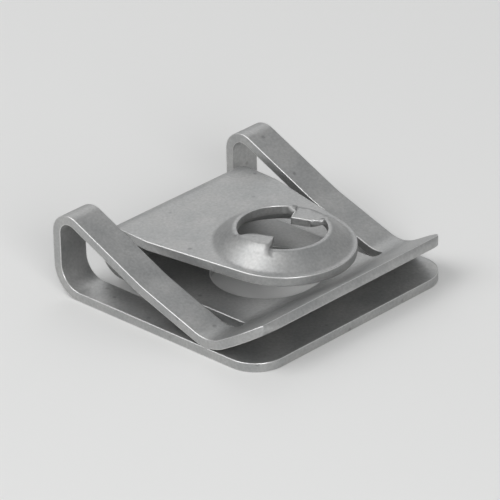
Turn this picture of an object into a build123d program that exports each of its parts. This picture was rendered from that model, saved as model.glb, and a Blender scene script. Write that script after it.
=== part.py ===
from build123d import *
import os
from math import acos, atan2, cos, radians, sin, sqrt

# A U clip speed nut: one strip of spring steel, cut out in plan and folded.
# Millimetres. X runs across the clip, Y from the open mouth (-Y) to the folded heel (+Y),
# +Z is up. The origin is the centre of the footprint, on the underside of the base.

# ---- overall sizes ----
WIDTH = 25.0
DEPTH = 24.4
HEIGHT = 8.0
SHEET = 0.85

# ---- outer frame: base, heels, crowns and arms ----
RAIL_WIDTH = 3.1  # base rails, legs and arms
CORNER_RADIUS = 3.0  # front corners of the base and of the lip, in plan
FRONT_BAR = 5.6  # solid front of the base, ahead of its opening
OPENING_RADIUS = 6.0  # front corners of that opening
HEEL_RADIUS = 2.1  # inside radius, base to leg
CROWN_RADIUS = 1.15  # inside radius, leg to arm
ARM_REAR_SLOPE = 25.0
ARM_FRONT_SLOPE = 19.0
KNEE_SETBACK = 10.0  # from the outer face of the legs to the arms' knee
KNEE_RADIUS = 12.0

# ---- mouth: crossbar and flared lip ----
MOUTH_GAP = 0.05  # crossbar over base, where the spring of the arms closes it
VALLEY_RADIUS = 3.5  # inside radius under the crossbar
LIP_RISE = 30.0

# ---- inner plate, U bend and tongue ----
SLIT_WIDTH = 1.2  # between each arm and the inner plate
SLIT_FRONT = 5.3  # where the slits stop, from the front edge
PLATE_HOLE_RADIUS = 5.0
PLATE_HOLE_SETBACK = 10.6  # hole axis, from the front edge
U_RADIUS = 1.6  # inside radius
U_CLEARANCE = 1.5  # outer face of the U bend inside the outer face of the legs
TONGUE_DROOP = 2.0
TONGUE_SHOULDER = 3.3  # full width from the U bend to where the taper starts

# ---- thread boss ----
BOSS_SETBACK = 8.7  # boss axis, from the front edge
BOSS_HOLE_RADIUS = 4.0
BOSS_LAND = 0.35  # flat ring round the top of the hole
BOSS_SKIRT = 1.75  # width in plan of the cone outside that ring
BOSS_FLANGE = 0.45  # flat ring of the tongue outside the boss
BOSS_RISE = 1.4
BOSS_WALL = 0.75  # height of the hole's straight wall
BOSS_CREST_ROUND = 0.5
BOSS_FOOT_ROUND = 1.0

# ---- thread prongs, a pair half a turn apart on the rim of the boss ----
PRONG_TIP = 207.0  # tip face of the upper prong, anticlockwise from +X
PRONG_SWEEP = 52.0
PRONG_REACH = 1.3  # from the wall of the hole inwards
PRONG_THICKNESS = 0.75
PRONG_RISE = 0.5  # top of the upper prong's tip over the rim
PRONG_PITCH = 0.9  # drop from the upper prong's tip to the lower's, half the screw's pitch
PRONG_HEEL = 0.45  # how far the prongs reach down the outside of the boss
PRONG_STEPS = 6

EDGE_RADIUS = 0.12  # tumbled edges

FRONT = -DEPTH / 2
REAR = DEPTH / 2
HALF_WIDTH = WIDTH / 2
HALF_SHEET = SHEET / 2
ROOTING = SHEET / 10  # how deep one solid is sunk in another before they are joined
HEEL_OUTSIDE = HEEL_RADIUS + SHEET
CROWN_OUTSIDE = CROWN_RADIUS + SHEET
U_OUTSIDE = U_RADIUS + SHEET
ARM_INSIDE = HALF_WIDTH - RAIL_WIDTH
PLATE_HALF_WIDTH = ARM_INSIDE - SLIT_WIDTH
BAR_HEIGHT = SHEET + MOUTH_GAP + HALF_SHEET  # middle of the sheet at the valley
BOSS_Y = FRONT + BOSS_SETBACK
BOSS_LAND_RADIUS = BOSS_HOLE_RADIUS + BOSS_LAND
BOSS_FOOT_RADIUS = BOSS_LAND_RADIUS + BOSS_SKIRT
BOSS_FLARE = BOSS_SKIRT / BOSS_RISE  # radius gained for each millimetre down the cone
TONGUE_END_RADIUS = BOSS_FOOT_RADIUS + BOSS_FLANGE


class Fold:
    """Walks along the middle of a folded strip in the YZ plane, drawing its two faces."""

    def __init__(self, y, z, heading):
        self.y, self.z, self.heading = y, z, heading
        self.left, self.right = [], []

    def beside(self, y, z, heading, offset):
        """The point square to the middle line, to its left for a positive offset."""
        angle = radians(heading)
        return Vector(0, y - sin(angle) * offset, z + cos(angle) * offset)

    def run(self, length):
        """Goes straight on."""
        y = self.y + cos(radians(self.heading)) * length
        z = self.z + sin(radians(self.heading)) * length
        for face, offset in ((self.left, HALF_SHEET), (self.right, -HALF_SHEET)):
            start = self.beside(self.y, self.z, self.heading, offset)
            face.append(Line(start, self.beside(y, z, self.heading, offset)))
        self.y, self.z = y, z
        return self

    def bend(self, inside_radius, turn):
        """Turns about the inside radius, to the left for a positive turn."""
        radius = inside_radius + HALF_SHEET
        reach = radius if turn > 0 else -radius
        centre = self.beside(self.y, self.z, self.heading, reach)
        middle, end = self.heading + turn / 2, self.heading + turn
        for face, offset in ((self.left, HALF_SHEET), (self.right, -HALF_SHEET)):
            points = [
                self.beside(centre.Y, centre.Z, heading, offset - reach)
                for heading in (self.heading, middle, end)
            ]
            face.append(ThreePointArc(*points))
        after = self.beside(centre.Y, centre.Z, end, -reach)
        self.y, self.z, self.heading = after.Y, after.Z, end
        return self

    def strip(self, low_x, high_x):
        """The folded strip between two planes across the clip."""
        caps = [
            Line(self.left[0] @ 0, self.right[0] @ 0),
            Line(self.left[-1] @ 1, self.right[-1] @ 1),
        ]
        section = Pos(low_x, 0, 0) * Face(Wire(self.left + self.right + caps))
        return extrude(section, amount=high_x - low_x, dir=(1, 0, 0))


def front_rounded(width, front, rear, radius):
    """A rectangle in plan with its two front corners rounded."""
    plan = Pos(0, (front + rear) / 2) * Rectangle(width, rear - front)
    return fillet(plan.vertices().group_by(Axis.Y)[0], radius)


def base():
    """Flat base: a solid front bar with two rails behind it, open to the rear."""
    rear = REAR - HEEL_OUTSIDE
    outline = front_rounded(WIDTH, FRONT, rear, CORNER_RADIUS)
    opening = front_rounded(2 * ARM_INSIDE, FRONT + FRONT_BAR, rear, OPENING_RADIUS)
    return extrude(outline - opening, SHEET)


def arm_line():
    """From the end of a base rail up the heel and leg, over the crown, down to the valley."""
    fold = Fold(REAR - HEEL_OUTSIDE, HALF_SHEET, 0)
    fold.bend(HEEL_RADIUS, 90)
    fold.run(HEIGHT - HEEL_OUTSIDE - CROWN_OUTSIDE)
    fold.bend(CROWN_RADIUS, 90 + ARM_REAR_SLOPE)
    fold.run((fold.y - REAR + KNEE_SETBACK) / cos(radians(ARM_REAR_SLOPE)))
    fold.bend(KNEE_RADIUS, ARM_FRONT_SLOPE - ARM_REAR_SLOPE)
    slope = radians(ARM_FRONT_SLOPE)
    valley_drop = (VALLEY_RADIUS + HALF_SHEET) * (1 - cos(slope))
    fold.run((fold.z - BAR_HEIGHT - valley_drop) / sin(slope))
    return fold.bend(VALLEY_RADIUS, -ARM_FRONT_SLOPE)


def crossbar(valley_y):
    """Crossbar and flared lip; the lip's lower edge stands over the front edge of the base."""
    rise = radians(LIP_RISE)
    fold = Fold(valley_y, BAR_HEIGHT, 180).bend(VALLEY_RADIUS, -LIP_RISE)
    fold.run((fold.y - FRONT - HALF_SHEET * sin(rise)) / cos(rise))
    plan = front_rounded(WIDTH, FRONT, REAR, CORNER_RADIUS)
    bar = fold.strip(-HALF_WIDTH, HALF_WIDTH) & extrude(plan, HEIGHT)
    slit = front_rounded(SLIT_WIDTH, FRONT + SLIT_FRONT, REAR, SLIT_WIDTH / 3)
    cutter = Pos(PLATE_HALF_WIDTH + SLIT_WIDTH / 2, 0) * extrude(slit, HEIGHT)
    return bar - cutter - mirror(cutter, about=Plane.YZ)


def plate_line(valley_y):
    """From the valley back along the inner plate and round the U bend."""
    fold = Fold(valley_y, BAR_HEIGHT, 0)
    fold.run(REAR - U_CLEARANCE - U_OUTSIDE - valley_y)
    return fold.bend(U_RADIUS, 180 + TONGUE_DROOP)


def tongue_plan(length):
    """Tongue laid flat, boss axis at the origin: full width, a taper, an end round the boss."""
    shoulder = Vector(PLATE_HALF_WIDTH, length - TONGUE_SHOULDER)
    bearing = atan2(shoulder.Y, shoulder.X) - acos(TONGUE_END_RADIUS / shoulder.length)
    side = (TONGUE_END_RADIUS * cos(bearing), TONGUE_END_RADIUS * sin(bearing))
    right = [(PLATE_HALF_WIDTH, length), (shoulder.X, shoulder.Y), side]
    left = [(-x, y) for x, y in reversed(right)]
    tip = ThreePointArc(side, (0, -TONGUE_END_RADIUS), left[0])
    return make_face(Polyline(*right) + tip + Polyline(*left, right[0]))


def turned(profile):
    """A body of revolution about the boss axis, from a (radius, height) face."""
    return revolve(Plane.XZ * profile, Axis.Z)


def boss_outside():
    """Outside of the boss: a cone that blends into the tongue and rounds over at its land."""
    crest = (BOSS_LAND_RADIUS, BOSS_RISE)
    brim = (TONGUE_END_RADIUS - BOSS_FLANGE / 10, 0)
    rounds = (BOSS_CREST_ROUND, BOSS_FOOT_ROUND)
    skin = FilletPolyline((0, BOSS_RISE), crest, (BOSS_FOOT_RADIUS, 0), brim, radius=rounds)
    under = Polyline(brim, (brim[0], -HALF_SHEET), (0, -HALF_SHEET), (0, BOSS_RISE))
    return turned(make_face(skin + under))


def boss_inside():
    """Hollow under the boss: a cone parallel to its outside, then the straight screw hole."""
    ceiling = BOSS_RISE - BOSS_WALL
    floor = -2 * SHEET
    wide = BOSS_HOLE_RADIUS + BOSS_FLARE * (ceiling - floor)
    points = [(0, ceiling), (BOSS_HOLE_RADIUS, ceiling), (wide, floor), (0, floor)]
    hollow = turned(make_face(Polyline(*points, close=True)))
    return hollow + extrude(Circle(BOSS_HOLE_RADIUS), 2 * BOSS_RISE)


def radial_loft(tip_angle, outline):
    """Lofts outlines in radial planes about the boss axis, heights from the rim, to the tip."""
    sections = []
    for step in range(PRONG_STEPS + 1):
        part = step / PRONG_STEPS
        angle = radians(tip_angle - PRONG_SWEEP * (1 - part))
        outward = (cos(angle), sin(angle), 0)
        plane = Plane((0, 0, BOSS_RISE), x_dir=outward, z_dir=(sin(angle), -cos(angle), 0))
        swell = sqrt(1 - (1 - part) ** 4)
        climb = (swell + part) / 2
        points = outline(swell, climb)
        sections.append(plane * make_face(Polyline(*points, close=True)))
    return loft(sections)


def prong(tip_angle, tip_top):
    """Thread prong: swells out of the rim of the hole and ends in a square tip face."""
    heel = (BOSS_LAND_RADIUS + PRONG_HEEL, -PRONG_HEEL / BOSS_FLARE - ROOTING)
    root = -BOSS_WALL + 2 * ROOTING

    def outline(swell, climb):
        inner = BOSS_HOLE_RADIUS + ROOTING - (PRONG_REACH + ROOTING) * swell
        top = tip_top * climb
        return [
            (inner, top),
            (inner, top - PRONG_THICKNESS * (1 + swell) / 2),
            (BOSS_LAND_RADIUS, root),
            (heel[0], root),
            heel,
            (BOSS_LAND_RADIUS, top),
        ]

    return radial_loft(tip_angle, outline)


def rim_press(tip_angle, tip_top):
    """What is pressed out of the rim over the lower prong, with a step at its tip."""
    reach = BOSS_LAND_RADIUS + 2 * PRONG_HEEL

    def outline(swell, climb):
        floor = ROOTING + (tip_top - ROOTING) * climb
        return [(0.1 * reach, floor), (reach, floor), (reach, SHEET), (0.1 * reach, SHEET)]

    return radial_loft(tip_angle, outline)


def tongue(fold):
    """Tapered tongue with its drawn boss and thread prongs, from where the U bend ends."""
    corner = fold.beside(fold.y, fold.z, fold.heading, -HALF_SHEET)
    droop = radians(TONGUE_DROOP)
    length = (corner.Y - BOSS_Y) / cos(droop)
    blank = extrude(tongue_plan(length), -SHEET)
    pressed = (blank + boss_outside()) - boss_inside()
    lower = PRONG_RISE - PRONG_PITCH
    pressed += prong(PRONG_TIP, PRONG_RISE)
    pressed += prong(PRONG_TIP + 180, lower + ROOTING)
    pressed -= rim_press(PRONG_TIP + 180, lower)
    place = Pos(0, BOSS_Y, corner.Z - length * sin(droop)) * Rot(TONGUE_DROOP, 0, 0)
    return place * pressed


def clip():
    """The whole clip as one folded strip."""
    arm = arm_line()
    right = arm.strip(ARM_INSIDE, HALF_WIDTH)
    plate = plate_line(arm.y)
    upper = crossbar(arm.y) + plate.strip(-PLATE_HALF_WIDTH, PLATE_HALF_WIDTH)
    upper -= Pos(0, FRONT + PLATE_HOLE_SETBACK) * extrude(Circle(PLATE_HOLE_RADIUS), U_OUTSIDE)
    return base() + right + mirror(right, about=Plane.YZ) + upper + tongue(plate)


os.makedirs("parts", exist_ok=True)
spring_clip = clip()
export_step(spring_clip, "parts/spring_clip.step")
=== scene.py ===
from math import cos, radians, sin

import bmesh
import bpy
from mathutils import Matrix, Vector


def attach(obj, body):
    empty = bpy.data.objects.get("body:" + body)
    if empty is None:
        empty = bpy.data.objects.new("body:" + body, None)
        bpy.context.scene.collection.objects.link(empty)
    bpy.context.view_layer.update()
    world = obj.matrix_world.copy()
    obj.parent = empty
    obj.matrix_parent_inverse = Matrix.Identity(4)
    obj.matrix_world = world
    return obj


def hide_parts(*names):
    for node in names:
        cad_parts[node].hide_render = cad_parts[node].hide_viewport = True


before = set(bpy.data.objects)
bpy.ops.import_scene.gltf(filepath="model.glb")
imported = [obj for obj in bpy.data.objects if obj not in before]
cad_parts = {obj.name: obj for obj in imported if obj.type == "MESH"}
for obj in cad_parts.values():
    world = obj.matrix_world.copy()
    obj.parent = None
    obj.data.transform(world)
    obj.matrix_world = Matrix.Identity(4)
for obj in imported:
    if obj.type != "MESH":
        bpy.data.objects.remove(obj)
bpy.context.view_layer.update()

# U clip speed nut in zinc plated spring steel, standing on its flat base.
# Metres, in the CAD model's frame: X across the clip, -Y towards its open mouth, +Z up.

MM = 0.001

# ---- camera ----
VIEW_AZIMUTH = -46.15
VIEW_ELEVATION = 27.12
VIEW_ROLL = -1.25
VIEW_DISTANCE = 399.9 * MM
VIEW_TARGET = Vector((0, -0.55, 3.0)) * MM
LENS_MM = 328.6
SENSOR_MM = 36.0
SHIFT_X = -0.0164
SHIFT_Y = 0.0116
NEAREST, FARTHEST = 0.01, 10.0

# ---- studio ----
FLOOR_HALF = 0.6
FLOOR_COLOUR = "#E9E9E8"
FLOOR_ROUGHNESS = 0.9
FLOOR_SHINE = 0.1
STUDIO_COLOUR = "#F2F3F4"
STUDIO_STRENGTH = 0.42

# ---- mesh ----
MERGE_GAP = 0.001 * MM
FLAT_ANGLE = 0.5  # triangles this near to one plane are joined into quads
QUAD_SKEW = 60
SMOOTH_ANGLE = 32  # bends are smooth, and sheared edges stay crisp
FACE_WEIGHT = 80

# ---- plated steel ----
CLOUD_SIZE = 3.0 * MM
GRAIN_SIZE = 0.25 * MM
GRAIN_RELIEF = 0.05 * MM
PIT_SPACING = 2.4 * MM
PIT_FLOOR, PIT_BRIM = 0.05, 0.11  # distances from a pit's middle, as shares of the spacing
# painted shade: the colour at a pit's middle is scaled down to this share
PIT_SHADE = 0.72
NOISE_LOW, NOISE_HIGH = 0.3, 0.7  # the part of a noise's range that it mostly keeps to
GRAIN_DARK, GRAIN_LIGHT = 0.88, 1.06
ZINC_DARK, ZINC_LIGHT = "#A9AAAA", "#B9B9B8"
STEEL_METALLIC = 0.8
SATIN_LEAST, SATIN_MOST = 0.36, 0.5  # roughness of the faces
BUMP_STRENGTH = 0.25
EDGE_ROUND = 0.18 * MM
EDGE_SAMPLES = 8
EDGE_STARTS, EDGE_FULL = 0.99, 0.87  # how far the eased normal still agrees with the face
# painted highlight: the pale colour given to the eased edges
EDGE_HIGHLIGHT_COLOUR = "#E4E4E3"
EDGE_ROUGHNESS = 0.32


def linear(hex_colour):
    """An sRGB hex colour as linear RGBA."""
    channels = [int(hex_colour[i : i + 2], 16) / 255 for i in (1, 3, 5)]
    colour = [c / 12.92 if c <= 0.04045 else ((c + 0.055) / 1.055) ** 2.4 for c in channels]
    return colour + [1.0]


def add_node(tree, kind, links=None, **settings):
    """Adds a node, sets its properties and sockets, and links sockets to other outputs."""
    node = tree.nodes.new(kind)
    for name, value in settings.items():
        if hasattr(node, name):
            setattr(node, name, value)
        else:
            node.inputs[name.replace("_", " ")].default_value = value
    for name, source in (links or {}).items():
        tree.links.new(source, node.inputs[name])
    return node


def new_material(name):
    """An empty material with its shader and output, and object coordinates in metres."""
    material = bpy.data.materials.new(name)
    material.use_nodes = True
    tree = material.node_tree
    tree.nodes.clear()
    shader = add_node(tree, "ShaderNodeBsdfPrincipled")
    add_node(tree, "ShaderNodeOutputMaterial", {"Surface": shader.outputs["BSDF"]})
    place = add_node(tree, "ShaderNodeTexCoord").outputs["Object"]
    return material, tree, shader, place


def make_camera():
    """Looks down from the front left along a long lens, rolled very slightly."""
    a, e = radians(VIEW_AZIMUTH), radians(VIEW_ELEVATION)
    back = Vector((sin(a) * cos(e), -cos(a) * cos(e), sin(e)))
    data = bpy.data.cameras.new("camera")
    data.sensor_width = SENSOR_MM
    data.lens = LENS_MM
    data.shift_x, data.shift_y = SHIFT_X, SHIFT_Y
    data.clip_start, data.clip_end = NEAREST, FARTHEST
    camera = bpy.data.objects.new("camera", data)
    bpy.context.scene.collection.objects.link(camera)
    turn = (-back).to_track_quat("-Z", "Y").to_matrix().to_4x4()
    roll = Matrix.Rotation(radians(VIEW_ROLL), 4, "Z")
    camera.matrix_world = Matrix.Translation(VIEW_TARGET + back * VIEW_DISTANCE) @ turn @ roll
    bpy.context.scene.camera = camera


def make_floor():
    """A plain pale floor, in one sheet."""
    mesh = bpy.data.meshes.new("floor")
    turns = ((-1, -1), (1, -1), (1, 1), (-1, 1))
    corners = [(x * FLOOR_HALF, y * FLOOR_HALF, 0) for x, y in turns]
    mesh.from_pydata(corners, [], [(0, 1, 2, 3)])
    floor = bpy.data.objects.new("floor", mesh)
    bpy.context.scene.collection.objects.link(floor)
    material, _, shader, _ = new_material("pale_floor")
    shader.inputs["Base Color"].default_value = linear(FLOOR_COLOUR)
    shader.inputs["Roughness"].default_value = FLOOR_ROUGHNESS
    shader.inputs["Specular IOR Level"].default_value = FLOOR_SHINE
    mesh.materials.append(material)


def area_light(name, position, size, power):
    """A square soft box that faces the clip."""
    data = bpy.data.lights.new(name, "AREA")
    data.size = size
    data.energy = power
    lamp = bpy.data.objects.new(name, data)
    lamp.location = position
    lamp.rotation_euler = (-Vector(position)).to_track_quat("-Z", "Y").to_euler()
    bpy.context.scene.collection.objects.link(lamp)


def plated_steel():
    """Cold rolled spring steel under thin grey zinc: satin, faintly mottled, with small pits in
    painted shade, and a painted highlight on its edges.
    """
    material, tree, shader, place = new_material("plated_steel")

    # Clouds of plating, and its crystal grain, drawn coarser than the real 0.02 mm to show.
    cloud = add_node(
        tree, "ShaderNodeTexNoise", {"Vector": place}, Scale=1 / CLOUD_SIZE, Detail=3.0
    )
    grain = add_node(
        tree, "ShaderNodeTexNoise", {"Vector": place}, Scale=1 / GRAIN_SIZE, Detail=2.0
    )
    blotch = add_node(
        tree,
        "ShaderNodeMapRange",
        {"Value": cloud.outputs["Fac"]},
        From_Min=NOISE_LOW,
        From_Max=NOISE_HIGH,
    )
    tone = add_node(tree, "ShaderNodeMix", {"Factor": blotch.outputs["Result"]}, data_type="RGBA")
    tone.inputs[6].default_value = linear(ZINC_DARK)
    tone.inputs[7].default_value = linear(ZINC_LIGHT)
    speck = add_node(
        tree,
        "ShaderNodeMapRange",
        {"Value": grain.outputs["Fac"]},
        From_Min=NOISE_LOW,
        From_Max=NOISE_HIGH,
        To_Min=GRAIN_DARK,
        To_Max=GRAIN_LIGHT,
    )
    grained = add_node(
        tree,
        "ShaderNodeVectorMath",
        {"Vector": tone.outputs[2], "Scale": speck.outputs["Result"]},
        operation="SCALE",
    )

    # Rolling pits, a quarter to half a millimetre across, darkened in colour as painted shade in
    # their hollows.
    cells = add_node(tree, "ShaderNodeTexVoronoi", {"Vector": place}, Scale=1 / PIT_SPACING)
    pit = add_node(
        tree,
        "ShaderNodeMapRange",
        {"Value": cells.outputs["Distance"]},
        From_Min=PIT_FLOOR,
        From_Max=PIT_BRIM,
        To_Min=PIT_SHADE,
    )
    painted_pit_shade = add_node(
        tree,
        "ShaderNodeVectorMath",
        {"Vector": grained.outputs["Vector"], "Scale": pit.outputs["Result"]},
        operation="SCALE",
    )

    # Sheared edges, eased and rubbed by tumbling: glossier than the faces, and paler, which is a
    # painted highlight of their rounding.
    eased = add_node(tree, "ShaderNodeBevel", samples=EDGE_SAMPLES, Radius=EDGE_ROUND)
    face = add_node(tree, "ShaderNodeNewGeometry")
    alike = add_node(
        tree,
        "ShaderNodeVectorMath",
        {0: eased.outputs["Normal"], 1: face.outputs["Normal"]},
        operation="DOT_PRODUCT",
    )
    # Mask of the eased edges, used both for their rubbed gloss and for their painted highlight.
    wear_and_highlight = add_node(
        tree,
        "ShaderNodeMapRange",
        {"Value": alike.outputs["Value"]},
        From_Min=EDGE_STARTS,
        From_Max=EDGE_FULL,
    )
    # Painted highlight: the edges' colour is mixed towards the pale edge colour.
    painted_edge_highlight = add_node(
        tree,
        "ShaderNodeMix",
        {"Factor": wear_and_highlight.outputs["Result"], 6: painted_pit_shade.outputs["Vector"]},
        data_type="RGBA",
    )
    painted_edge_highlight.inputs[7].default_value = linear(EDGE_HIGHLIGHT_COLOUR)
    tree.links.new(painted_edge_highlight.outputs[2], shader.inputs["Base Color"])

    shader.inputs["Metallic"].default_value = STEEL_METALLIC
    sheen = add_node(
        tree,
        "ShaderNodeMapRange",
        {"Value": cloud.outputs["Fac"]},
        To_Min=SATIN_LEAST,
        To_Max=SATIN_MOST,
    )
    gloss = add_node(tree, "ShaderNodeMix", {0: wear_and_highlight.outputs["Result"], 2: sheen.outputs["Result"]})
    gloss.inputs[3].default_value = EDGE_ROUGHNESS
    tree.links.new(gloss.outputs[0], shader.inputs["Roughness"])
    relief = add_node(
        tree,
        "ShaderNodeBump",
        {"Height": grain.outputs["Fac"], "Normal": eased.outputs["Normal"]},
        Strength=BUMP_STRENGTH,
        Distance=GRAIN_RELIEF,
    )
    tree.links.new(relief.outputs["Normal"], shader.inputs["Normal"])
    return material


def steel_strip(node, material):
    """The clip's own shape as one closed mesh, with even facets and smooth bends."""
    mesh = node.data.copy()
    work = bmesh.new()
    work.from_mesh(mesh)
    bmesh.ops.remove_doubles(work, verts=work.verts, dist=MERGE_GAP)
    bmesh.ops.join_triangles(
        work,
        faces=work.faces,
        angle_face_threshold=radians(FLAT_ANGLE),
        angle_shape_threshold=radians(QUAD_SKEW),
    )
    work.to_mesh(mesh)
    work.free()
    mesh.materials.clear()
    mesh.materials.append(material)
    for face in mesh.polygons:
        face.use_smooth = True
    mesh.set_sharp_from_angle(angle=radians(SMOOTH_ANGLE))
    strip = bpy.data.objects.new("steel_strip", mesh)
    bpy.context.scene.collection.objects.link(strip)
    shading = strip.modifiers.new("flat faces stay flat", "WEIGHTED_NORMAL")
    shading.keep_sharp = True
    shading.weight = FACE_WEIGHT
    return strip


make_camera()
make_floor()

clip = steel_strip(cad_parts["spring_clip"], plated_steel())
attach(clip, "root")
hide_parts("spring_clip")

area_light("key", (-0.30, 0.16, 0.46), 0.45, 1.50)
area_light("front", (-0.26, -0.44, 0.21), 0.26, 1.30)
area_light("rear", (0.30, 0.30, 0.30), 0.34, 0.26)

scene = bpy.context.scene
scene.world = bpy.data.worlds.new("studio")
scene.world.use_nodes = True
studio = scene.world.node_tree.nodes["Background"]
studio.inputs["Color"].default_value = linear(STUDIO_COLOUR)
studio.inputs["Strength"].default_value = STUDIO_STRENGTH
scene.view_settings.view_transform = "Standard"
